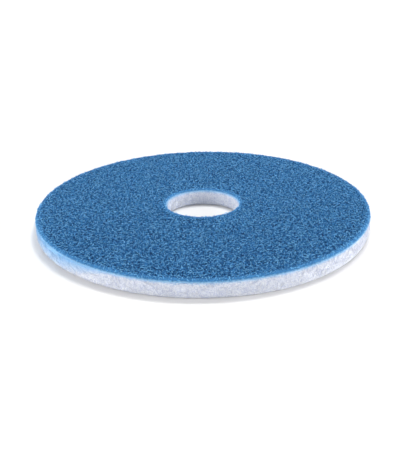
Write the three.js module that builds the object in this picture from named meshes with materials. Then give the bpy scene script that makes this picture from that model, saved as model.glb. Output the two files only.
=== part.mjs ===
// A round floor polishing pad for a disc machine: a white non-woven fibre body with a thinner blue
// abrasive web bonded over its upper face, die cut with a centre hole for the machine's centre
// lock. Millimetres, +Z up. The origin is the middle of the underside, on the hole's axis.

import * as THREE from 'three';

// Driving sizes
const padDiameter = 406;
const holeDiameter = 90;
const bodyThickness = 19;
const webThickness = 4;

// The die presses the fibres down as it cuts, so every cut edge is rounded over
const webRimRound = 3;
const webHoleRound = 2;
const bodyRimRound = 5;
const bodyHoleRound = 2.5;
const largestRoundShare = 0.8; // of the layer that is rounded
const roundSteps = 4;
const wallFacets = 128;

// The open web: level crests of bonded strands, with a hollow wherever fewer strands cross
const hollowDepth = 1.6;
const hollowSpacing = 11;
const crestLoft = 0.4;
const hollowLoft = 0.65;
const cellSize = 6.4;
const pressedWidth = 10;
const risingWidth = 7;

const padRadius = padDiameter / 2;
const holeRadius = holeDiameter / 2;
const faceHeight = bodyThickness + webThickness;

const webMaterial = new THREE.MeshStandardMaterial({ color: 0x4175a6, roughness: 0.85, metalness: 0 });
const bodyMaterial = new THREE.MeshStandardMaterial({ color: 0xe3e5ea, roughness: 0.95, metalness: 0 });

// Noise that is the same on every run: a value for each lattice point, blended between them
function latticeValue(column, row) {
  const wave = Math.sin(column * 127.1 + row * 311.7) * 43758.5453;
  return wave - Math.floor(wave);
}

function smoothNoise(x, y) {
  const column = Math.floor(x);
  const row = Math.floor(y);
  const blendX = THREE.MathUtils.smoothstep(x - column, 0, 1);
  const blendY = THREE.MathUtils.smoothstep(y - row, 0, 1);
  const near = THREE.MathUtils.lerp(latticeValue(column, row), latticeValue(column + 1, row), blendX);
  const nextRow = row + 1;
  const far = THREE.MathUtils.lerp(latticeValue(column, nextRow), latticeValue(column + 1, nextRow), blendX);
  return THREE.MathUtils.lerp(near, far, blendY);
}

// How far the web lies under its crests here. The die leaves it level beside the rim and the hole.
function hollowAt(x, y) {
  const radius = Math.hypot(x, y);
  const fromEdge = Math.min(padRadius - radius, radius - holeRadius);
  const open = THREE.MathUtils.smoothstep(fromEdge, pressedWidth, pressedWidth + risingWidth);
  const loft = smoothNoise(x / hollowSpacing, y / hollowSpacing);
  return hollowDepth * open * THREE.MathUtils.smoothstep(loft, crestLoft, hollowLoft);
}

// A quarter round on a square corner of a section, as points of (radius, height). Inward and upward
// are 1 or -1, and say to which side of the corner the material lies.
function quarterRound(cornerRadius, cornerHeight, inward, upward, round) {
  const centreRadius = cornerRadius + inward * round;
  const centreHeight = cornerHeight + upward * round;
  const middle = Math.atan2(-upward, -inward);
  const arc = new THREE.EllipseCurve(
    centreRadius, centreHeight, round, round, middle - Math.PI / 4, middle + Math.PI / 4,
  );
  return arc.getPoints(roundSteps);
}

// The white fibre body: a flat underside, and cut edges that curl under at the rim and the hole
function makeBody() {
  const largest = largestRoundShare * bodyThickness;
  const holeTop = new THREE.Vector2(holeRadius, bodyThickness);
  const section = [
    holeTop,
    ...quarterRound(holeRadius, 0, 1, 1, Math.min(bodyHoleRound, largest)),
    ...quarterRound(padRadius, 0, -1, 1, Math.min(bodyRimRound, largest)),
    new THREE.Vector2(padRadius, bodyThickness),
    holeTop,
  ];
  const body = new THREE.Mesh(new THREE.LatheGeometry(section, wallFacets), bodyMaterial);
  body.geometry.rotateX(Math.PI / 2);
  body.name = 'white_fibre_body';
  return body;
}

// One ring of points about the axis. Its first point is turned by a share of the spacing.
function ringAt(radius, height, count, firstTurn, depthAt) {
  const ring = [];
  for (let place = 0; place < count; place += 1) {
    const turn = (place + firstTurn) / count;
    const x = radius * Math.cos(2 * Math.PI * turn);
    const y = radius * Math.sin(2 * Math.PI * turn);
    ring.push({ turn, x, y, z: height - depthAt(x, y) });
  }
  return ring;
}

// Triangles between two rings, always stepping along the ring that lags behind
function joinRings(first, firstStart, second, secondStart, index) {
  const turnAt = (ring, place) => ring[place % ring.length].turn + Math.floor(place / ring.length);
  let i = 0;
  let j = 0;
  while (i < first.length || j < second.length) {
    const here = firstStart + (i % first.length);
    const across = secondStart + (j % second.length);
    const firstLags = i < first.length && turnAt(first, i + 1) <= turnAt(second, j + 1);
    if (firstLags || j === second.length) {
      i += 1;
      index.push(here, firstStart + (i % first.length), across);
    } else {
      j += 1;
      index.push(here, secondStart + (j % second.length), across);
    }
  }
}

// A closed skin over rings in the order of the section's outline, the last joined to the first
function skinOverRings(rings) {
  const positions = rings.flat().flatMap(({ x, y, z }) => [x, y, z]);
  const starts = rings.map((ring, order) => rings.slice(0, order).flat().length);
  const index = [];
  rings.forEach((ring, order) => {
    const next = (order + 1) % rings.length;
    joinRings(ring, starts[order], rings[next], starts[next], index);
  });
  const geometry = new THREE.BufferGeometry();
  geometry.setAttribute('position', new THREE.Float32BufferAttribute(positions, 3));
  geometry.setIndex(index);
  geometry.computeVertexNormals();
  return geometry;
}

// The blue web over the body's level top. Its open face is cut into cells of one size all over.
function makeWeb() {
  const largest = largestRoundShare * webThickness;
  const rimRound = Math.min(webRimRound, largest);
  const holeRound = Math.min(webHoleRound, largest);
  const level = () => 0;
  const wallRing = ({ x: radius, y: height }) => ringAt(radius, height, wallFacets, 0, level);
  const outerFace = padRadius - rimRound;
  const innerFace = holeRadius + holeRound;
  const bands = Math.round((outerFace - innerFace) / cellSize);
  const faceRings = [];
  for (let band = 1; band < bands; band += 1) {
    const radius = THREE.MathUtils.lerp(outerFace, innerFace, band / bands);
    const count = Math.round(2 * Math.PI * radius / cellSize);
    faceRings.push(ringAt(radius, faceHeight, count, latticeValue(band, 7), hollowAt));
  }
  const web = new THREE.Mesh(skinOverRings([
    wallRing({ x: padRadius, y: bodyThickness }),
    ...quarterRound(padRadius, faceHeight, -1, -1, rimRound).map(wallRing),
    ...faceRings,
    ...quarterRound(holeRadius, faceHeight, 1, -1, holeRound).map(wallRing),
    wallRing({ x: holeRadius, y: bodyThickness }),
  ]), webMaterial);
  web.name = 'blue_abrasive_web';
  return web;
}

const pad = new THREE.Group();
pad.name = 'floor_polishing_pad';
pad.add(makeBody(), makeWeb());

export default pad;
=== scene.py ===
# Floor polishing pad: a blue open web bonded over a white fibre body, lying on a pale floor.
# Metres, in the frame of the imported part: +Z up, origin in the middle of the underside.

import math

import bpy
from mathutils import Matrix, Vector


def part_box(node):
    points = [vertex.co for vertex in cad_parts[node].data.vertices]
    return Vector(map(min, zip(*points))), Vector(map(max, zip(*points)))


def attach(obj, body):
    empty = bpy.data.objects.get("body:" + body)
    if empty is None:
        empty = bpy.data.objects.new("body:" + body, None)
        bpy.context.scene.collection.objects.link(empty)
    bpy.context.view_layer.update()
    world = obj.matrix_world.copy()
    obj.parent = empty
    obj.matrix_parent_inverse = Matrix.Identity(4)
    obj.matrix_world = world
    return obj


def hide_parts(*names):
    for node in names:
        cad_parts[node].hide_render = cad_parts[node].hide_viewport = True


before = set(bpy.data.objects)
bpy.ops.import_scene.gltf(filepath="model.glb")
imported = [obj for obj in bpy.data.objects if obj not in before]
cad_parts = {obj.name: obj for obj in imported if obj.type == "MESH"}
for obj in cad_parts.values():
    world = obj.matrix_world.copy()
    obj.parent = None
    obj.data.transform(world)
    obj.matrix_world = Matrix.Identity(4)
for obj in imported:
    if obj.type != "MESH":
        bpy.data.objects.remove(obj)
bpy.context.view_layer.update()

mm = 0.001
fullTurn = 2 * math.pi

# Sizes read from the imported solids
webLow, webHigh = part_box("blue_abrasive_web")
padRadius = webHigh.x
seamHeight = webLow.z
faceHeight = webHigh.z
holeRadius = min(math.hypot(v.co.x, v.co.y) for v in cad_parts["white_fibre_body"].data.vertices)
print("frame:", round(padRadius, 4), round(holeRadius, 4), round(seamHeight, 4), round(faceHeight, 4))


# Node helpers, the same for shaders and for geometry

def feed(tree, socket, value):  # value is another node's output, or a constant
    if isinstance(value, bpy.types.NodeSocket):
        tree.links.new(value, socket)
    else:
        socket.default_value = value


def addNode(tree, kind, inputs=None, **settings):
    node = tree.nodes.new(kind)
    for name, value in settings.items():
        setattr(node, name, value)
    for key, value in (inputs or {}).items():
        feed(tree, node.inputs[key], value)
    return node


def mathNode(tree, operation, first, second=0.0, third=0.0, clamp=False):
    inputs = {0: first, 1: second, 2: third}
    return addNode(tree, "ShaderNodeMath", inputs, operation=operation, use_clamp=clamp).outputs[0]


def vectorNode(tree, operation, first, second=None, scale=None):
    given = {0: first, 1: second, "Scale": scale}
    inputs = {key: value for key, value in given.items() if value is not None}
    node = addNode(tree, "ShaderNodeVectorMath", inputs, operation=operation)
    return node.outputs["Value" if operation in ("LENGTH", "DOT_PRODUCT") else "Vector"]


def smoothRange(tree, value, low, high, toLow=0.0, toHigh=1.0):
    inputs = {"Value": value, "From Min": low, "From Max": high, "To Min": toLow, "To Max": toHigh}
    node = addNode(tree, "ShaderNodeMapRange", inputs, interpolation_type="SMOOTHSTEP")
    return node.outputs["Result"]


def noiseAt(tree, position, scale, detail, roughness=0.5):
    inputs = {"Vector": position, "Scale": scale, "Detail": detail, "Roughness": roughness}
    return addNode(tree, "ShaderNodeTexNoise", inputs).outputs[0]


def heightOf(tree, position):
    return addNode(tree, "ShaderNodeSeparateXYZ", {0: position}).outputs["Z"]


# The web's ridges run where a smooth noise crosses its middle value, with pits on both sides.
# The geometry and the shader both read it, so that the colour follows the form. The softening
# keeps a strand's step short where the noise is nearly level.
ridges = {
    "size": 2.5 * mm,
    "detail": 1.0,
    "roughness": 0.4,
    "step": 0.2 * mm,
    "softening": 900.0,
}


def ridgeOffset(tree, position):
    noise = noiseAt(tree, position, 1 / ridges["size"], ridges["detail"], ridges["roughness"])
    return mathNode(tree, "SUBTRACT", noise, 0.5)


def ridgeSlope(tree, position, here):
    step = ridges["step"]
    slopes = []
    for axis in ((step, 0, 0), (0, step, 0), (0, 0, step)):
        there = ridgeOffset(tree, vectorNode(tree, "ADD", position, axis))
        slopes.append(mathNode(tree, "DIVIDE", mathNode(tree, "SUBTRACT", there, here), step))
    return addNode(tree, "ShaderNodeCombineXYZ", {"X": slopes[0], "Y": slopes[1], "Z": slopes[2]}).outputs[0]


def towardsRidge(tree, position, share):  # one step down the slope of the noise, to its middle value
    here = ridgeOffset(tree, position)
    slope = ridgeSlope(tree, position, here)
    steep = mathNode(tree, "ADD", vectorNode(tree, "DOT_PRODUCT", slope, slope), ridges["softening"])
    pull = mathNode(tree, "DIVIDE", mathNode(tree, "MULTIPLY", here, share), steep)
    return vectorNode(tree, "SUBTRACT", position, vectorNode(tree, "SCALE", slope, scale=pull)), slope


# Ring skins

def addObject(name, data):
    added = bpy.data.objects.new(name, data)
    bpy.context.scene.collection.objects.link(added)
    return added


def bandFaces(first, firstStart, second, secondStart):  # triangles between two rings, given their turns
    def turnAt(ring, place):
        return ring[place % len(ring)] + place // len(ring)
    faces = []
    i = j = 0
    while i < len(first) or j < len(second):
        here = firstStart + i % len(first)
        across = secondStart + j % len(second)
        if j == len(second) or (i < len(first) and turnAt(first, i + 1) <= turnAt(second, j + 1)):
            i += 1
            faces.append((here, firstStart + i % len(first), across))
        else:
            j += 1
            faces.append((here, secondStart + j % len(second), across))
    return faces


def ringSkin(name, outline, cell, closed=True):  # a skin over an outline of (radius, height) points
    points = []
    starts = []
    turns = []
    for order, (radius, height) in enumerate(outline):
        count = round(fullTurn * radius / cell)
        firstTurn = 0.5 * (order % 2)
        starts.append(len(points))
        turns.append([(place + firstTurn) / count for place in range(count)])
        for turn in turns[-1]:
            points.append((radius * math.cos(fullTurn * turn), radius * math.sin(fullTurn * turn), height))
    faces = []
    for order in range(len(outline) if closed else len(outline) - 1):
        after = (order + 1) % len(outline)
        faces += bandFaces(turns[order], starts[order], turns[after], starts[after])
    mesh = bpy.data.meshes.new(name)
    mesh.from_pydata(points, [], faces)
    mesh.shade_smooth()
    return addObject(name, mesh)


def straight(start, end, cell):  # points from start up to, but not at, the end
    steps = max(1, round(math.dist(start, end) / cell))
    return [tuple(a + (b - a) * step / steps for a, b in zip(start, end)) for step in range(steps)]


# Inward and upward are 1 or -1, and say to which side of the corner the material lies
def quarterRound(corner, inward, upward, roundRadius, cell):
    centre = (corner[0] + inward * roundRadius, corner[1] + upward * roundRadius)
    middle = math.atan2(-upward, -inward)
    steps = max(2, round(roundRadius * math.pi / 2 / cell))
    angles = [middle - math.pi / 4 + math.pi / 2 * step / steps for step in range(steps + 1)]
    return [(centre[0] + roundRadius * math.cos(a), centre[1] + roundRadius * math.sin(a)) for a in angles]


def plainMesh(generator, name):  # the evaluated result of a generator object, as a plain mesh
    graph = bpy.context.evaluated_depsgraph_get()
    mesh = bpy.data.meshes.new_from_object(generator.evaluated_get(graph), depsgraph=graph)
    bpy.data.objects.remove(generator)
    mesh.name = name
    print("made", name, len(mesh.polygons), "faces")
    return addObject(name, mesh)


def geometryTree(name, inputs):  # inputs are (name, socket type, value)
    tree = bpy.data.node_groups.new(name, "GeometryNodeTree")
    tree.interface.new_socket("Geometry", in_out="INPUT", socket_type="NodeSocketGeometry")
    for label, kind, value in inputs:
        socket = tree.interface.new_socket(label, in_out="INPUT", socket_type=kind)
        if value is not None:
            socket.default_value = value
    tree.interface.new_socket("Geometry", in_out="OUTPUT", socket_type="NodeSocketGeometry")
    return tree, tree.nodes.new("NodeGroupInput"), tree.nodes.new("NodeGroupOutput")


def endTree(tree, geometry, material, result):
    whole = addNode(tree, "GeometryNodeRealizeInstances", {0: geometry})
    painted = addNode(tree, "GeometryNodeSetMaterial", {"Geometry": whole.outputs[0], "Material": material})
    tree.links.new(painted.outputs[0], result.inputs[0])


def useTree(target, tree, values):  # values by input name, set by the socket's identifier
    modifier = target.modifiers.new(tree.name, "NODES")
    modifier.node_group = tree
    for item in tree.interface.items_tree:
        if item.item_type == "SOCKET" and item.in_out == "INPUT" and item.name in values:
            modifier[item.identifier] = values[item.name]


# Materials

def newMaterial(name):
    material = bpy.data.materials.new(name)
    material.use_nodes = True
    tree = material.node_tree
    return material, tree, tree.nodes["Principled BSDF"]


def objectPosition(tree):
    return tree.nodes.new("ShaderNodeTexCoord").outputs["Object"]


def storedTone(tree):
    return addNode(tree, "ShaderNodeAttribute", attribute_name="tone").outputs["Fac"]


def colourMix(tree, factor, first, second):  # each colour is another node's output, or three numbers
    inputs = {"Factor": factor}
    for slot, value in ((6, first), (7, second)):
        inputs[slot] = value if isinstance(value, bpy.types.NodeSocket) else (*value, 1.0)
    return addNode(tree, "ShaderNodeMix", inputs, data_type="RGBA").outputs[2]


def bumpFrom(tree, shader, height, strength, depth):
    bump = addNode(tree, "ShaderNodeBump", {"Strength": strength, "Distance": depth, "Height": height})
    tree.links.new(bump.outputs[0], shader.inputs["Normal"])


def axisDistance(tree, position):
    return vectorNode(tree, "LENGTH", vectorNode(tree, "MULTIPLY", position, (1, 1, 0)))


def edgeDistance(tree, position):  # how far a point lies from the nearer cut edge
    radius = axisDistance(tree, position)
    fromRim = mathNode(tree, "SUBTRACT", padRadius, radius)
    return mathNode(tree, "MINIMUM", fromRim, mathNode(tree, "SUBTRACT", radius, holeRadius))


cutLook = {
    "pale": (0.38, 0.66, 0.95),
    "top": 20.8 * mm,
    "bottom": 18.4 * mm,
    "holeRaise": 0.2 * mm,
    "width": 3 * mm,
    "fraySize": 2.5 * mm,
    "frayDepth": 2 * mm,
}


def paleCut(tree, position, colour):  # the dye stops short of the seam on the die-cut walls
    look = cutLook
    inHole = mathNode(tree, "LESS_THAN", axisDistance(tree, position), holeRadius + look["width"])
    raised = mathNode(tree, "MULTIPLY", inHole, look["holeRaise"])
    lowered = mathNode(tree, "SUBTRACT", heightOf(tree, position), raised)
    fray = noiseAt(tree, position, 1 / look["fraySize"], 2.0)
    centred = mathNode(tree, "SUBTRACT", lowered, 0.5 * look["frayDepth"])
    level = mathNode(tree, "MULTIPLY_ADD", fray, look["frayDepth"], centred)
    low = smoothRange(tree, level, look["bottom"], look["top"], 1.0, 0.0)
    near = smoothRange(tree, edgeDistance(tree, position), 0.5 * look["width"], look["width"], 1.0, 0.0)
    return colourMix(tree, mathNode(tree, "MULTIPLY", low, near), colour, look["pale"])


blueSheen = 0.15

blueWebLook = {
    # pit: dark blue painted into the pits between the ridges, painted shade in the hollows of the web
    "pit": (0.009, 0.045, 0.125),
    "ridge": (0.036, 0.195, 0.465),
    "pressed": (0.068, 0.25, 0.53),
    "ridgeWidth": 0.03,
    "pitWidth": 0.12,
    "pressedWidth": 7 * mm,
    "pressedShare": 0.75,
    "grainSize": 0.7 * mm,
    "grainShare": 0.5,
    "bump": 0.5,
    "bumpDepth": 0.4 * mm,
    "roughness": 0.8,
}


def blueWebMaterial():
    look = blueWebLook
    material, tree, shader = newMaterial("blueWeb")
    position = objectPosition(tree)
    away = mathNode(tree, "ABSOLUTE", ridgeOffset(tree, position))
    pit = smoothRange(tree, away, look["ridgeWidth"], look["pitWidth"])
    grain = noiseAt(tree, position, 1 / look["grainSize"], 2.0)
    centred = mathNode(tree, "SUBTRACT", pit, 0.5 * look["grainShare"])
    shade = mathNode(tree, "MULTIPLY_ADD", grain, look["grainShare"], centred, clamp=True)
    # Painted shade: the colour darkens from the ridge blue to the pit blue into the hollows, mixed with a
    # random grain
    colour = colourMix(tree, shade, look["ridge"], look["pit"])
    beside = edgeDistance(tree, position)
    pressed = smoothRange(tree, beside, 0.0, look["pressedWidth"], look["pressedShare"], 0.0)
    dyed = paleCut(tree, position, colourMix(tree, pressed, colour, look["pressed"]))
    tree.links.new(dyed, shader.inputs["Base Color"])
    bumpFrom(tree, shader, grain, look["bump"], look["bumpDepth"])
    shader.inputs["Roughness"].default_value = look["roughness"]
    shader.inputs["Specular IOR Level"].default_value = blueSheen
    return material


blueStrandLook = {
    "grainSize": 0.7 * mm,
    "grainShare": 2.3,
    "stops": [
        (0.0, (0.003, 0.037, 0.13)),
        (0.35, (0.04, 0.197, 0.485)),
        (0.8, (0.12, 0.40, 0.735)),
        (1.0, (0.22, 0.58, 0.92)),
    ],
    "roughness": 0.55,
}


def rampNode(tree, factor, stops):
    ramp = addNode(tree, "ShaderNodeValToRGB", {"Fac": factor})
    ends = ramp.color_ramp.elements
    for element, (place, colour) in zip((ends[0], ends[1]), (stops[0], stops[-1])):
        element.position = place
        element.color = (*colour, 1)
    for place, colour in stops[1:-1]:
        ramp.color_ramp.elements.new(place).color = (*colour, 1)
    return ramp.outputs["Color"]


def blueStrandMaterial():
    look = blueStrandLook
    material, tree, shader = newMaterial("blueStrand")
    position = objectPosition(tree)
    grain = noiseAt(tree, position, 1 / look["grainSize"], 1.0)
    uneven = mathNode(tree, "SUBTRACT", grain, 0.5)
    mottled = mathNode(tree, "MULTIPLY_ADD", uneven, look["grainShare"], storedTone(tree))
    colour = rampNode(tree, mottled, look["stops"])
    tree.links.new(paleCut(tree, position, colour), shader.inputs["Base Color"])
    shader.inputs["Roughness"].default_value = look["roughness"]
    shader.inputs["Specular IOR Level"].default_value = blueSheen
    return material


# The dye reaches a little way down from the seam all round. On one side of the pad the blue tint runs all
# the way down the wall: painted shade, standing for the bluish shade on that side. Its edge wanders with a
# noise, and it fades inward from the cut walls.
dyeAndShadeLook = {
    "colour": (0.21, 0.51, 0.85),
    "aboveSeam": 1 * mm,
    "height": 4 * mm,
    "paintedShadeSide": (-0.95, -0.3, 0),
    "shadeSideHeight": 24 * mm,
    "sideBegins": 0.70,
    "sideWhole": 0.98,
    "wander": 4 * mm,
    "wanderMiddle": 1.9 * mm,
    "wholeInward": 2 * mm,
    "endInward": 8 * mm,
}


def dyeAndShadeTint(tree, position, wander):  # how much blue tint the white fibre takes, 0 to 1: dye bled below the seam all round, and painted shade over the whole wall on one side
    look = dyeAndShadeLook
    side = vectorNode(tree, "DOT_PRODUCT", vectorNode(tree, "NORMALIZE", position), look["paintedShadeSide"])
    # On the painted side the tint reaches the whole wall height, as painted bluish shade
    reach = smoothRange(tree, side, look["sideBegins"], look["sideWhole"], look["height"],
                        look["shadeSideHeight"])
    below = mathNode(tree, "SUBTRACT", seamHeight + look["aboveSeam"], heightOf(tree, position))
    centred = mathNode(tree, "SUBTRACT", below, look["wanderMiddle"])
    fray = mathNode(tree, "MULTIPLY_ADD", wander, look["wander"], centred)
    tinted = mathNode(tree, "SUBTRACT", 1.0, mathNode(tree, "DIVIDE", fray, reach), clamp=True)
    beside = edgeDistance(tree, position)
    atCut = smoothRange(tree, beside, look["wholeInward"], look["endInward"], 1.0, 0.0)
    return mathNode(tree, "MULTIPLY", tinted, atCut)


whiteFibreLook = {
    "light": (0.90, 0.93, 0.99),
    "dark": (0.58, 0.62, 0.77),
    "darkUpTo": 0.35,
    "lightFrom": 0.65,
    "grainSize": 1.2 * mm,
    "fineSize": 0.5 * mm,
    "bump": 0.6,
    "bumpDepth": 0.4 * mm,
    "roughness": 0.9,
    "lightReach": 3 * mm,
}


def whiteFibreMaterial():
    look = whiteFibreLook
    material, tree, shader = newMaterial("whiteFibre")
    position = objectPosition(tree)
    grain = noiseAt(tree, position, 1 / look["grainSize"], 4.0, 0.65)
    mixed = smoothRange(tree, grain, look["darkUpTo"], look["lightFrom"])
    colour = colourMix(tree, mixed, look["dark"], look["light"])
    tinted = colourMix(tree, dyeAndShadeTint(tree, position, grain), colour, dyeAndShadeLook["colour"])
    tree.links.new(tinted, shader.inputs["Base Color"])
    fine = noiseAt(tree, position, 1 / look["fineSize"], 2.0)
    bumpFrom(tree, shader, fine, look["bump"], look["bumpDepth"])
    shader.inputs["Roughness"].default_value = look["roughness"]
    shader.inputs["Subsurface Weight"].default_value = 1.0  # light passes through the loose fibre
    shader.inputs["Subsurface Radius"].default_value = (1, 1, 1)
    shader.inputs["Subsurface Scale"].default_value = look["lightReach"]
    return material


whiteStrandLook = {
    "dark": (0.60, 0.65, 0.82),
    "light": (0.95, 0.97, 1.0),
    "roughness": 0.7,
}


def whiteStrandMaterial():
    look = whiteStrandLook
    material, tree, shader = newMaterial("whiteStrand")
    tone = storedTone(tree)
    colour = colourMix(tree, tone, look["dark"], look["light"])
    tint = dyeAndShadeTint(tree, objectPosition(tree), tone)
    tree.links.new(colourMix(tree, tint, colour, dyeAndShadeLook["colour"]), shader.inputs["Base Color"])
    shader.inputs["Roughness"].default_value = look["roughness"]
    return material


# Geometry Nodes

levelTolerance = 0.05 * mm


def reliefTree():  # sinks a skin along its normals: pits of the web, or the lumps of the fibre body
    tree, given, result = geometryTree("relief", [
        ("Sink", "NodeSocketFloat", 0.8 * mm),
        ("Pit Depth", "NodeSocketFloat", 1.4 * mm),
        ("Ridge Width", "NodeSocketFloat", 0.04),
        ("Pit Width", "NodeSocketFloat", 0.16),
        ("Lump Depth", "NodeSocketFloat", 0.3 * mm),
        ("Lump Size", "NodeSocketFloat", 4 * mm),
        ("Pressed Width", "NodeSocketFloat", 3 * mm),
        ("Rising Width", "NodeSocketFloat", 8 * mm),
        ("Pressed Share", "NodeSocketFloat", 0.3),
        ("Kept Level", "NodeSocketFloat", 0.0),
        ("Material", "NodeSocketMaterial", None),
    ])
    value = given.outputs
    position = tree.nodes.new("GeometryNodeInputPosition").outputs[0]
    edge = edgeDistance(tree, position)
    risen = mathNode(tree, "ADD", value["Pressed Width"], value["Rising Width"])
    opened = smoothRange(tree, edge, value["Pressed Width"], risen, value["Pressed Share"], 1.0)
    away = mathNode(tree, "ABSOLUTE", ridgeOffset(tree, position))
    pit = smoothRange(tree, away, value["Ridge Width"], value["Pit Width"])
    lump = noiseAt(tree, position, mathNode(tree, "DIVIDE", 1.0, value["Lump Size"]), 2.0)
    sunk = mathNode(tree, "MULTIPLY_ADD", pit, value["Pit Depth"], value["Sink"])
    lumps = mathNode(tree, "MULTIPLY", lump, value["Lump Depth"])
    depth = mathNode(tree, "MULTIPLY_ADD", sunk, opened, lumps)
    normal = tree.nodes.new("GeometryNodeInputNormal").outputs[0]
    offset = vectorNode(tree, "SCALE", normal, scale=mathNode(tree, "MULTIPLY", depth, -1.0))

    # Points at the kept level stay where they are
    height = heightOf(tree, position)
    atLevel = mathNode(tree, "COMPARE", height, value["Kept Level"], levelTolerance)
    moves = mathNode(tree, "SUBTRACT", 1.0, atLevel)
    moved = addNode(tree, "GeometryNodeSetPosition", {"Geometry": value["Geometry"],
                    "Offset": vectorNode(tree, "SCALE", offset, scale=moves)})
    endTree(tree, moved.outputs[0], value["Material"], result)
    return tree


# How strands differ from each other: shares of the length and of the width, the step from one
# strand's slice of the noise to the next, and how far the noise lifts them
strandVariety = {
    "length": (0.6, 1.4),
    "width": (0.7, 1.3),
    "slice": 7.31,
    "lift": 2.5,
    "sides": 3,
    "levelSeed": 11,
    "toneSeed": 23,
    "widthSeed": 37,
}


def randomValue(tree, least, most, **chosen):
    return addNode(tree, "FunctionNodeRandomValue", {2: least, 3: most, **chosen}).outputs[1]


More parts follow.
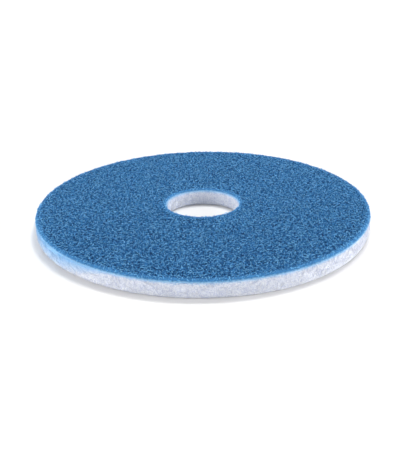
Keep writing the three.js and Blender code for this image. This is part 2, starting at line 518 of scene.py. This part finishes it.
def strandTree():  # curled strands laid over a skin, most of them along the web's ridges
    tree, given, result = geometryTree("strands", [
        ("Density", "NodeSocketFloat", 1000.0),
        ("Strand Length", "NodeSocketFloat", 6 * mm),
        ("Strand Radius", "NodeSocketFloat", 0.3 * mm),
        ("Height", "NodeSocketFloat", -0.5 * mm),
        ("Rise", "NodeSocketFloat", 0.5 * mm),
        ("Dive", "NodeSocketFloat", 0.8 * mm),
        ("Proud", "NodeSocketFloat", 0.3 * mm),
        ("Lowest", "NodeSocketFloat", 0.3 * mm),
        ("Wander", "NodeSocketFloat", 1 * mm),
        ("Wander Size", "NodeSocketFloat", 3 * mm),
        ("Gather", "NodeSocketFloat", 0.9),
        ("Spread", "NodeSocketFloat", 0.5),
        ("Points", "NodeSocketInt", 5),
        ("Darkest", "NodeSocketFloat", 0.0),
        ("Lightest", "NodeSocketFloat", 1.0),
        ("Painted Height Shade", "NodeSocketFloat", 0.3),
        ("Rim Tone", "NodeSocketFloat", 0.2),
        ("Rim Width", "NodeSocketFloat", 9 * mm),
        ("Seed", "NodeSocketInt", 1),
        ("Material", "NodeSocketMaterial", None),
    ])
    vary = strandVariety
    value = given.outputs
    skin = value["Geometry"]
    scattered = addNode(tree, "GeometryNodeDistributePointsOnFaces", {"Mesh": skin,
                        "Density": value["Density"], "Seed": value["Seed"]})
    position = tree.nodes.new("GeometryNodeInputPosition").outputs[0]
    near, slope = towardsRidge(tree, position, value["Gather"])
    rooted = addNode(tree, "GeometryNodeSetPosition", {"Geometry": scattered.outputs["Points"],
                     "Position": near})

    # A line for each point, turned along its ridge and then a little off it
    half = mathNode(tree, "MULTIPLY", value["Strand Length"], 0.5)
    start = addNode(tree, "ShaderNodeCombineXYZ", {"X": mathNode(tree, "MULTIPLY", half, -1.0)})
    end = addNode(tree, "ShaderNodeCombineXYZ", {"X": half})
    line = addNode(tree, "GeometryNodeCurvePrimitiveLine", {"Start": start.outputs[0],
                   "End": end.outputs[0]})
    fine = addNode(tree, "GeometryNodeResampleCurve", {"Curve": line.outputs[0], "Count": value["Points"]})
    along = vectorNode(tree, "CROSS_PRODUCT", scattered.outputs["Normal"], slope)
    turned = addNode(tree, "FunctionNodeAxesToRotation", {0: scattered.outputs["Normal"], 1: along},
                     primary_axis="Z", secondary_axis="X")
    least = mathNode(tree, "MULTIPLY", value["Spread"], -1.0)
    spin = randomValue(tree, least, value["Spread"], Seed=value["Seed"])
    spun = addNode(tree, "FunctionNodeAxisAngleToRotation", {"Axis": (0, 0, 1), "Angle": spin})
    aligned = addNode(tree, "FunctionNodeRotateRotation", {"Rotation": turned.outputs[0],
                      "Rotate By": spun.outputs[0]}, rotation_space="LOCAL")
    size = randomValue(tree, *vary["length"], Seed=value["Seed"])
    placed = addNode(tree, "GeometryNodeInstanceOnPoints", {"Points": rooted.outputs[0],
                     "Instance": fine.outputs[0], "Rotation": aligned.outputs[0], "Scale": size})
    curves = addNode(tree, "GeometryNodeRealizeInstances", {0: placed.outputs[0]})

    # Each strand wanders by its own slice of a noise, then is drawn back towards the ridge
    own = tree.nodes.new("GeometryNodeCurveOfPoint").outputs["Curve Index"]
    ownSlice = mathNode(tree, "MULTIPLY", own, vary["slice"])
    wanderScale = mathNode(tree, "DIVIDE", 1.0, value["Wander Size"])
    noise = addNode(tree, "ShaderNodeTexNoise", {"Vector": position, "W": ownSlice, "Scale": wanderScale,
                    "Detail": 0.0}, noise_dimensions="4D")
    drift = vectorNode(tree, "SUBTRACT", noise.outputs["Color"], (0.5, 0.5, 0.5))
    doubled = mathNode(tree, "MULTIPLY", value["Wander"], 2.0)
    wandered = vectorNode(tree, "ADD", position, vectorNode(tree, "SCALE", drift, scale=doubled))
    once = towardsRidge(tree, wandered, value["Gather"])[0]
    twice = towardsRidge(tree, once, value["Gather"])[0]

    # Back over the skin at the strand's own height, its ends diving into the layer
    nearest = addNode(tree, "GeometryNodeProximity", {0: skin, "Sample Position": twice},
                      target_element="FACES")
    facing = addNode(tree, "GeometryNodeSampleNearestSurface", {"Mesh": skin, "Sample Position": twice},
                     data_type="FLOAT_VECTOR")
    tree.links.new(tree.nodes.new("GeometryNodeInputNormal").outputs[0], facing.inputs["Value"])
    share = tree.nodes.new("GeometryNodeSplineParameter").outputs["Factor"]
    arch = mathNode(tree, "SINE", mathNode(tree, "MULTIPLY", share, math.pi))
    ends = mathNode(tree, "MULTIPLY", mathNode(tree, "SUBTRACT", 1.0, arch), value["Dive"])
    level = randomValue(tree, -0.5, 0.5, ID=own, Seed=vary["levelSeed"])
    lifted = mathNode(tree, "MULTIPLY_ADD", heightOf(tree, drift), vary["lift"], level)
    swing = mathNode(tree, "MULTIPLY", lifted, value["Rise"])
    height = mathNode(tree, "SUBTRACT", mathNode(tree, "ADD", value["Height"], swing), ends)
    raised = mathNode(tree, "MINIMUM", height, value["Proud"])
    onSkin = vectorNode(tree, "ADD", nearest.outputs["Position"],
                        vectorNode(tree, "SCALE", facing.outputs[0], scale=raised))
    split = addNode(tree, "ShaderNodeSeparateXYZ", {0: onSkin}).outputs
    offFloor = mathNode(tree, "MAXIMUM", split["Z"], value["Lowest"])
    kept = addNode(tree, "ShaderNodeCombineXYZ", {"X": split["X"], "Y": split["Y"], "Z": offFloor})
    laid = addNode(tree, "GeometryNodeSetPosition", {"Geometry": curves.outputs[0],
                   "Position": kept.outputs[0]})

    # Tone: each strand's own at random, lighter beside the cut edges, and lighter where it stands high:
    # painted shade that darkens the strands lying deeper
    tone = randomValue(tree, value["Darkest"], value["Lightest"], ID=own, Seed=vary["toneSeed"])
    beside = smoothRange(tree, edgeDistance(tree, position), 0.0, value["Rim Width"], 1.0, 0.0)
    lighter = mathNode(tree, "MULTIPLY_ADD", beside, value["Rim Tone"], tone)
    # Painted shade by height: the higher a strand stands, the lighter its tone
    standing = mathNode(tree, "DIVIDE", raised, 1 * mm)
    shown = mathNode(tree, "MULTIPLY_ADD", standing, value["Painted Height Shade"], lighter)
    toned = addNode(tree, "GeometryNodeStoreNamedAttribute", {"Geometry": laid.outputs[0], "Name": "tone",
                    "Value": shown}, data_type="FLOAT", domain="POINT")

    # Tubes round the lines
    width = randomValue(tree, *vary["width"], ID=own, Seed=vary["widthSeed"])
    sized = addNode(tree, "GeometryNodeSetCurveRadius", {"Curve": toned.outputs[0], "Radius": width})
    section = addNode(tree, "GeometryNodeCurvePrimitiveCircle", {"Resolution": vary["sides"],
                      "Radius": value["Strand Radius"]})
    tubes = addNode(tree, "GeometryNodeCurveToMesh", {"Curve": sized.outputs[0],
                    "Profile Curve": section.outputs[0], "Fill Caps": False})
    smooth = addNode(tree, "GeometryNodeSetShadeSmooth", {"Geometry": tubes.outputs[0]})
    endTree(tree, smooth.outputs[0], value["Material"], result)
    return tree


relief = reliefTree()
strands = strandTree()


def layStrands(name, path, cell, values):
    generator = ringSkin(name, path, cell, closed=False)
    useTree(generator, strands, values)
    return plainMesh(generator, name)


# Blue web

blueWeb = {
    "cell": 1.3 * mm,
    "rimRound": 3 * mm,
    "holeRound": 2 * mm,
    "relief": {"Sink": 1.3 * mm, "Pit Depth": 1.2 * mm, "Ridge Width": 0.03, "Pit Width": 0.15,
               "Lump Depth": 0.3 * mm, "Lump Size": 2.2 * mm, "Pressed Width": 2 * mm,
               "Rising Width": 8 * mm, "Pressed Share": 0.35, "Kept Level": seamHeight},
}


def webRounds(cell):  # the rounded edges of the open face, at the rim and then at the hole
    rim = quarterRound((padRadius, faceHeight), -1, -1, blueWeb["rimRound"], cell)
    hole = quarterRound((holeRadius, faceHeight), 1, -1, blueWeb["holeRound"], cell)
    return rim, hole


def webOutline(cell):
    rim, hole = webRounds(cell)
    return (straight((padRadius, seamHeight), rim[0], cell) + rim[:-1] + straight(rim[-1], hole[0], cell)
            + hole[:-1] + straight(hole[-1], (holeRadius, seamHeight), cell) + [(holeRadius, seamHeight)])


webSkin = ringSkin("webSkin", webOutline(blueWeb["cell"]), blueWeb["cell"])
useTree(webSkin, relief, {**blueWeb["relief"], "Material": blueWebMaterial()})
web = plainMesh(webSkin, "blue_web")

blueStrands = {
    "skinCell": 5 * mm,
    "roundCell": 1.5 * mm,
    "shared": {"Strand Length": 2.9 * mm, "Dive": 0.7 * mm, "Proud": 0.4 * mm, "Wander": 0.5 * mm,
               "Wander Size": 1.8 * mm, "Gather": 0.9, "Spread": 0.7, "Points": 4, "Painted Height Shade": 0.2,
               "Rim Tone": 0.06, "Rim Width": 8 * mm},
    # The lower layers take darker tone ranges and the upper layers lighter ones: painted shade deeper in the
    # web
    "layers": {
        "blue_strands_lower": {"Density": 86000.0, "Strand Radius": 0.28 * mm, "Height": -1.5 * mm,
                               "Rise": 1.0 * mm, "Darkest": 0.1, "Lightest": 0.55, "Seed": 3},
        "blue_strands_middle": {"Density": 86000.0, "Strand Radius": 0.28 * mm, "Height": -0.8 * mm,
                                "Rise": 1.0 * mm, "Darkest": 0.3, "Lightest": 0.9, "Seed": 5},
        "blue_strands_upper": {"Density": 80000.0, "Strand Radius": 0.3 * mm, "Height": 0.0,
                               "Rise": 0.9 * mm, "Darkest": 0.5, "Lightest": 1.25, "Seed": 7},
    },
}

strandPieces = []
blueShared = {**blueStrands["shared"], "Material": blueStrandMaterial()}
rimRound, holeRound = webRounds(blueStrands["roundCell"])
facePath = rimRound[:-1] + straight(rimRound[-1], holeRound[0], blueStrands["skinCell"]) + holeRound
for name, sizes in blueStrands["layers"].items():
    strandPieces.append(layStrands(name, facePath, blueStrands["skinCell"], {**blueShared, **sizes}))

# White fibre body

whiteBody = {
    "ringCell": 1.6 * mm,
    "wallCell": 1.2 * mm,
    "faceCell": 2.4 * mm,
    "rimRound": 5 * mm,
    "holeRound": 2.5 * mm,
    "relief": {"Sink": 0.0, "Pit Depth": 0.2 * mm, "Ridge Width": 0.03, "Pit Width": 0.15,
               "Lump Depth": 0.7 * mm, "Lump Size": 5 * mm, "Pressed Width": 0.0,
               "Rising Width": 1 * mm, "Pressed Share": 1.0, "Kept Level": -1.0},
}

# Shares of the foot's rounding that are filled out: all round, and on the side that is cut square
foot = {
    "share": 0.2,
    "squareShare": 0.75,
    "squareSide": (0.9, -0.45, 0),
    "squareBegins": 0.45,
    "squareBlend": 0.4,
    "slack": 0.1 * mm,
}


def bodyOutline(cell, faceCell):
    rim = quarterRound((padRadius, 0), -1, 1, whiteBody["rimRound"], cell)
    hole = quarterRound((holeRadius, 0), 1, 1, whiteBody["holeRound"], cell)
    rimTop = (padRadius, seamHeight)
    wall = rim[:-1] + straight(rim[-1], rimTop, cell) + [rimTop]
    holeWall = straight((holeRadius, seamHeight), hole[0], cell) + hole[:-1]
    return wall + holeWall + straight(hole[-1], rim[0], faceCell)


def fillFoot(mesh):
    side = Vector(foot["squareSide"]).normalized()
    roundRadius = whiteBody["rimRound"]
    for vertex in mesh.vertices:
        place = Vector((vertex.co.x, vertex.co.y, 0))
        short = padRadius - place.length
        if vertex.co.z < roundRadius and 0 < short < roundRadius + foot["slack"]:
            towards = (place.normalized().dot(side) - foot["squareBegins"]) / foot["squareBlend"]
            towards = min(max(towards, 0), 1)
            eased = towards * towards * (3 - 2 * towards)
            share = foot["share"] + (foot["squareShare"] - foot["share"]) * eased
            place *= (place.length + share * short) / place.length
            vertex.co.x, vertex.co.y = place.x, place.y


bodySkin = ringSkin("bodySkin", bodyOutline(whiteBody["wallCell"], whiteBody["faceCell"]),
                    whiteBody["ringCell"])
fillFoot(bodySkin.data)
useTree(bodySkin, relief, {**whiteBody["relief"], "Material": whiteFibreMaterial()})
body = plainMesh(bodySkin, "white_body")

whiteStrands = {
    "skinCell": 3 * mm,
    "roundCell": 2 * mm,
    "underSeam": 0.5 * mm,
    "strand": {"Density": 130000.0, "Strand Length": 7 * mm, "Strand Radius": 0.2 * mm, "Height": 0.0,
               "Rise": 0.5 * mm, "Dive": 0.4 * mm, "Proud": 0.5 * mm, "Wander": 2 * mm,
               "Wander Size": 4 * mm, "Gather": 0.0, "Spread": math.pi, "Points": 6, "Darkest": 0.0,
               "Lightest": 1.0, "Painted Height Shade": 0.0, "Rim Tone": 0.0, "Seed": 13},
}

whiteShared = {**whiteStrands["strand"], "Material": whiteStrandMaterial()}
strandTop = seamHeight - whiteStrands["underSeam"]
rimFoot = quarterRound((padRadius, 0), -1, 1, whiteBody["rimRound"], whiteStrands["roundCell"])
holeFoot = quarterRound((holeRadius, 0), 1, 1, whiteBody["holeRound"], whiteStrands["roundCell"])
wallPaths = {
    "white_strands_rim": rimFoot + [(padRadius, strandTop)],
    "white_strands_hole": [(holeRadius, strandTop)] + holeFoot,
}
for name, path in wallPaths.items():
    strandPieces.append(layStrands(name, path, whiteStrands["skinCell"], whiteShared))

# Floor, light and camera

stage = {
    "size": 6.0,
    "floorColour": (0.85, 0.84, 0.83),
    "nearGlow": 0.03,
    "farGlow": 0.8,
    "glowBegins": 0.3,
    "glowWhole": 0.9,
    "world": 0.37,
}

# Each level is what the lamp adds on a level white surface at the origin
lamps = {
    "rightKey": {"size": 0.6, "level": 0.51, "bearing": 60, "height": 72, "far": 2.0},
    "leftKey": {"size": 0.6, "level": 0.15, "bearing": 118, "height": 68, "far": 2.0},
    "rightFill": {"size": 0.8, "level": 0.13, "bearing": -22, "height": 13, "far": 2.2},
    "leftFill": {"size": 0.8, "level": 0.13, "bearing": -158, "height": 13, "far": 2.2},
    "frontFill": {"size": 0.8, "level": 0.014, "bearing": -90, "height": 22, "far": 2.2},
}


def makeFloor():
    bpy.ops.mesh.primitive_plane_add(size=stage["size"])
    floor = bpy.context.object
    floor.name = "floor"
    material, tree, shader = newMaterial("paleFloor")
    tree.nodes.remove(shader)
    rays = tree.nodes.new("ShaderNodeLightPath").outputs
    direct = mathNode(tree, "MAXIMUM", rays["Is Camera Ray"], rays["Is Glossy Ray"])
    seen = mathNode(tree, "MAXIMUM", direct, rays["Is Transmission Ray"])
    plain = addNode(tree, "ShaderNodeBsdfDiffuse", {"Color": (*stage["floorColour"], 1)})
    far = vectorNode(tree, "LENGTH", objectPosition(tree))
    strength = smoothRange(tree, far, stage["glowBegins"], stage["glowWhole"], stage["nearGlow"],
                           stage["farGlow"])
    glow = addNode(tree, "ShaderNodeEmission", {"Color": (1, 1, 1, 1), "Strength": strength})
    lit = addNode(tree, "ShaderNodeAddShader", {0: plain.outputs[0], 1: glow.outputs[0]})
    mixed = addNode(tree, "ShaderNodeMixShader", {0: seen, 1: plain.outputs[0], 2: lit.outputs[0]})
    tree.links.new(mixed.outputs[0], tree.nodes["Material Output"].inputs["Surface"])
    floor.data.materials.append(material)
    return floor


def makeWorld():
    world = bpy.data.worlds.new("studio")
    bpy.context.scene.world = world
    world.use_nodes = True
    tree = world.node_tree
    seen = tree.nodes.new("ShaderNodeLightPath").outputs["Is Camera Ray"]
    level = mathNode(tree, "MULTIPLY_ADD", seen, 1.0 - stage["world"], stage["world"])
    tree.links.new(level, tree.nodes["Background"].inputs["Strength"])
    tree.nodes["Background"].inputs["Color"].default_value = (1, 1, 1, 1)


def makeLamp(name, lamp):
    light = bpy.data.lights.new(name, "AREA")
    light.shape = "DISK"
    light.size = lamp["size"]
    bearing = math.radians(lamp["bearing"])
    height = math.radians(lamp["height"])
    level = math.cos(height)
    place = Vector((math.cos(bearing) * level, math.sin(bearing) * level, math.sin(height)))
    light.energy = lamp["level"] * math.pi ** 2 * lamp["far"] ** 2 / math.sin(height)
    holder = addObject(name, light)
    holder.location = place * lamp["far"]
    holder.rotation_euler = (-place).to_track_quat("-Z", "Y").to_euler()


view = {
    "lens": 56.46,
    "elevation": math.radians(23.87),
    "distance": 4.3625 * padRadius,
    "roll": math.radians(1.056),
    "target": Vector((-0.0062, 0, -0.0437)) * padRadius,
}


def makeCamera():
    camera = addObject("camera", bpy.data.cameras.new("camera"))
    camera.data.lens = view["lens"]
    forward = Vector((0, math.cos(view["elevation"]), -math.sin(view["elevation"])))
    level = Vector((1, 0, 0))
    up = level.cross(forward)
    roll = view["roll"]
    right = level * math.cos(roll) - up * math.sin(roll)
    up = up * math.cos(roll) + level * math.sin(roll)
    place = view["target"] - forward * view["distance"]
    turn = Matrix((right, up, -forward)).transposed().to_4x4()
    camera.matrix_world = Matrix.Translation(place) @ turn
    bpy.context.scene.camera = camera


floor = makeFloor()
makeWorld()
for name, lamp in lamps.items():
    makeLamp(name, lamp)
makeCamera()
bpy.context.scene.view_settings.view_transform = "Standard"
print("stage: floor, world,", len(lamps), "lamps and camera")

# Hand the pieces to the frame

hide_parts("blue_abrasive_web")
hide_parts("white_fibre_body")
for piece in (web, body, *strandPieces):
    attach(piece, "root")
